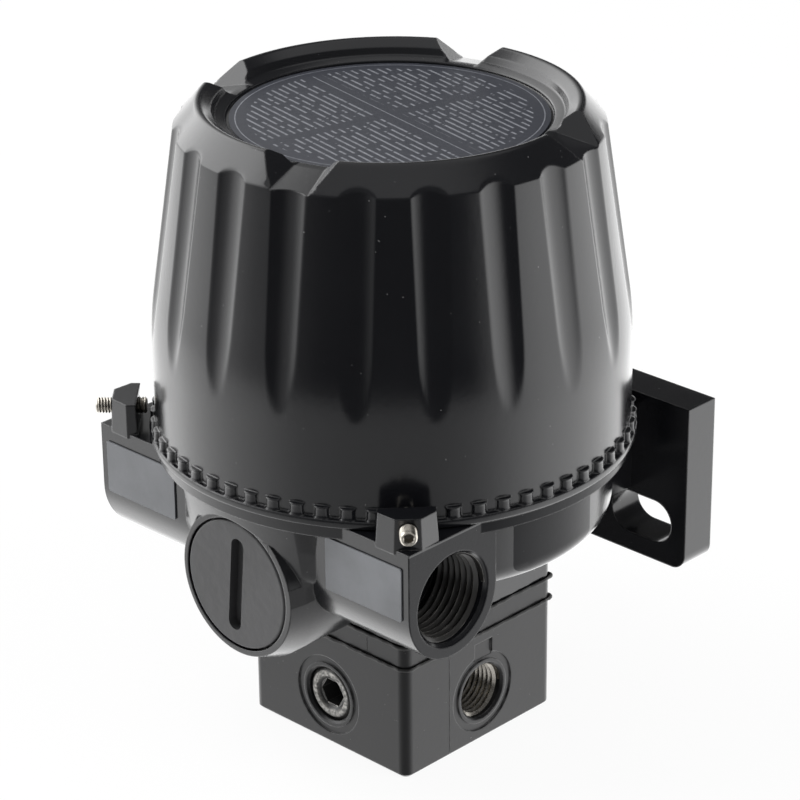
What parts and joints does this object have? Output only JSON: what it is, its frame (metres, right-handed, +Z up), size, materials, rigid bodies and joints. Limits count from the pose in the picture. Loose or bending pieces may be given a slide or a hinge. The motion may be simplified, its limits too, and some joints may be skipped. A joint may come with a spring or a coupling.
{
  "type": "current to pressure converter",
  "caption": "Black die-cast current to pressure converter with a fluted screw-on cover, side conduit bosses, rear slotted bracket and square pneumatic base.",
  "frame": {"origin": "on the underside of the base block, on the axis of the screwed cover", "axes": "+Z up along the cover's axis, +X out of the right conduit boss, -Y towards the slotted plug"},
  "size_m": [0.115, 0.1183, 0.159],
  "materials": {
    "housing_paint": "semi-gloss black",
    "base_paint": "satin black",
    "label_grey": "matt",
    "label_slate": "matt",
    "plug_grey": "matt dark grey",
    "steel": "satin",
    "brass": "machined",
    "copper": "lacquered wire",
    "aluminium": "machined",
    "iron": "plated",
    "rubber": "matt",
    "board_green": "solder mask",
    "black_plastic": "matt",
    "blue_plastic": "gloss",
    "filter_felt": "pressed fibre"
  },
  "bodies": {
    "housing": {"housing": "housing_paint", "base_block": "base_paint", "spacer_block": "base_paint", "mounting_bracket": "housing_paint", "label_right": "label_grey", "label_left": "label_grey", "hex_plug": "steel", "bracket_screws": "steel", "base_screws": "steel", "lower_diaphragm": "rubber", "upper_diaphragm": "rubber", "valve_seat": "brass", "poppet_spring": "steel", "filter_element": "filter_felt", "nozzle": "brass", "magnet_pot": "iron", "magnet": "iron", "pole_piece": "iron", "pivot_block": "aluminium", "pivot_pin": "steel", "main_board": "board_green", "upper_board": "board_green", "board_studs": "brass", "board_screws": "steel", "terminal_block": "black_plastic", "terminal_screws": "steel", "zero_trimmer": "blue_plastic", "span_trimmer": "blue_plastic", "capacitors": "black_plastic", "pressure_sensor": "steel", "sensor_tube": "brass", "earth_washer": "brass", "earth_screw": "brass"},
    "cover_carrier": {"cover_ring": "rubber"},
    "cover": {"cover": "housing_paint", "label_disc": "label_slate"},
    "set_screw_right": {"set_screw_right": "steel"},
    "set_screw_left": {"set_screw_left": "steel"},
    "plug_carrier": {"plug_ring": "rubber"},
    "plug": {"slotted_plug": "plug_grey"},
    "valve_stem": {"valve_stem": "steel", "lower_plate": "aluminium", "upper_plate": "aluminium"},
    "supply_poppet": {"supply_poppet": "brass"},
    "flapper": {"flapper_beam": "aluminium", "coil_former": "aluminium", "coil_winding": "copper"},
    "zero_screw": {"zero_screw": "brass"},
    "span_screw": {"span_screw": "brass"}
  },
  "joints": [
    {"name": "cover_lift", "type": "slide", "parent": "housing", "child": "cover_carrier", "axis": [0, 0, 1], "range_m": [0, 0.0161]},
    {"name": "cover_turn", "type": "hinge", "parent": "cover_carrier", "child": "cover", "pos_m": [0, 0, 0.08], "axis": [0, 0, 1], "range_deg": [0, 2880]},
    {"name": "set_screw_right_feed", "type": "slide", "parent": "housing", "child": "set_screw_right", "axis": [-0.7305, 0.6829, 0], "range_m": [-0.004, 0.0005]},
    {"name": "set_screw_left_feed", "type": "slide", "parent": "housing", "child": "set_screw_left", "axis": [0.7305, 0.6829, 0], "range_m": [-0.004, 0.0005]},
    {"name": "plug_travel", "type": "slide", "parent": "housing", "child": "plug_carrier", "axis": [0, -1, 0], "range_m": [0, 0.0091]},
    {"name": "plug_turn", "type": "hinge", "parent": "plug_carrier", "child": "plug", "pos_m": [0, -0.052, 0.0541], "axis": [0, -1, 0], "range_deg": [0, 2160]},
    {"name": "stem_travel", "type": "slide", "parent": "housing", "child": "valve_stem", "axis": [0, 0, 1], "range_m": [-0.0008, 0], "deforming": ["poppet_spring", "lower_diaphragm", "upper_diaphragm"]},
    {"name": "poppet_travel", "type": "slide", "parent": "housing", "child": "supply_poppet", "axis": [0, 0, 1], "range_m": [-0.0008, 0]},
    {"name": "flapper_tilt", "type": "hinge", "parent": "housing", "child": "flapper", "pos_m": [0, 0.033, 0.07345], "axis": [1, 0, 0], "range_deg": [-0.5, 0.3]},
    {"name": "zero_turn", "type": "hinge", "parent": "housing", "child": "zero_screw", "pos_m": [-0.0182, -0.014, 0.1276], "axis": [0, 0, 1], "continuous": true},
    {"name": "span_turn", "type": "hinge", "parent": "housing", "child": "span_screw", "pos_m": [0.0182, -0.014, 0.1276], "axis": [0, 0, 1], "continuous": true}
  ],
  "couplings": [
    {"joint": "cover_lift", "follows": "cover_turn", "m_per_rad": 0.00031831},
    {"joint": "plug_travel", "follows": "plug_turn", "m_per_rad": 0.00023873},
    {"joint": "poppet_travel", "follows": "stem_travel", "ratio": 1}
  ]
}
